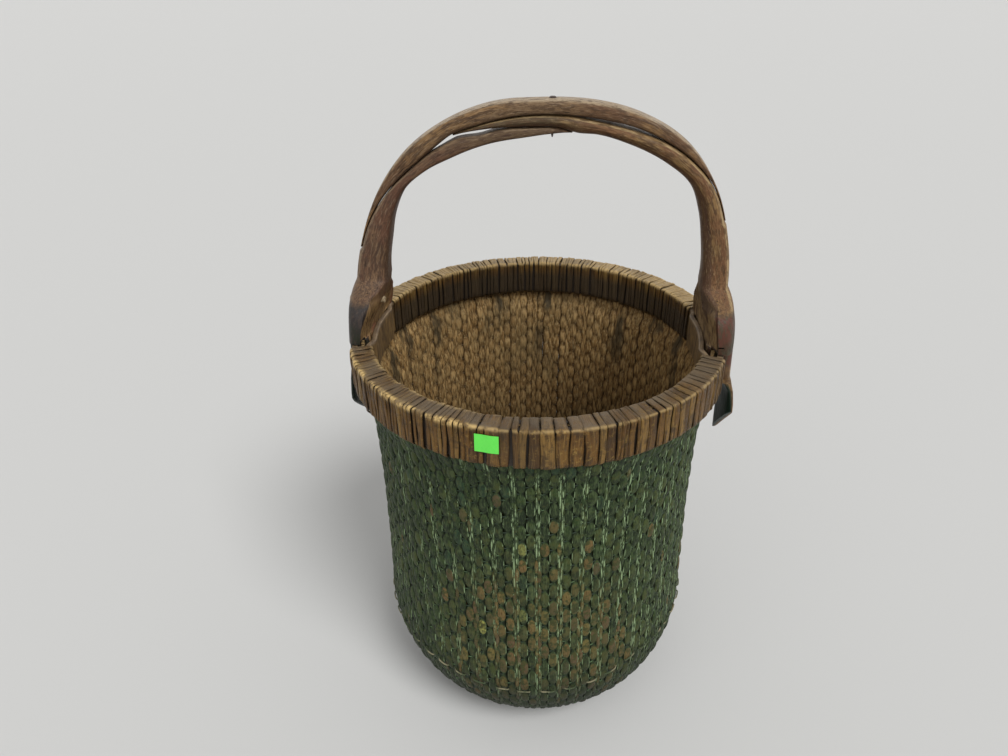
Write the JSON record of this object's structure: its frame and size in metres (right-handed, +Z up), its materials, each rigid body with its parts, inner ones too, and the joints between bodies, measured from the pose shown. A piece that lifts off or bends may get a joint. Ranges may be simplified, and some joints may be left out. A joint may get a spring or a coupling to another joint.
{
  "type": "basket",
  "caption": "Tall round willow grain basket with a wrapped wooden rim and a bentwood carrying handle of three overlapping sticks.",
  "frame": {"origin": "middle of the underside of the flat base", "axes": "+Z up along the body; the handle lies in the XZ plane, with the pegged foot at -X"},
  "size_m": [0.4334, 0.4208, 0.7485],
  "materials": {
    "woven_paint": "worn green paint over willow",
    "twine_hemp": "dry hemp",
    "inner_hoop_wood": "bare split wood",
    "outer_hoop_wood": "bare split wood",
    "front_strip_bark": "worn willow strip",
    "back_strip_bark": "worn willow strip",
    "left_wood": "hand-worn stick",
    "right_wood": "hand-worn stick",
    "arch_wood": "hand-worn stick",
    "nail_iron": "rusted",
    "peg_wood": "bare"
  },
  "bodies": {
    "root": {"woven_body": "woven_paint", "base_twine": "twine_hemp", "inner_hoop": "inner_hoop_wood", "outer_hoop": "outer_hoop_wood", "rim_binding_front": "front_strip_bark", "rim_binding_back": "back_strip_bark", "left_leg": "left_wood", "right_leg": "right_wood", "upper_arch": "arch_wood", "crown_nail": "nail_iron", "left_foot_peg": "peg_wood"}
  },
  "joints": []
}
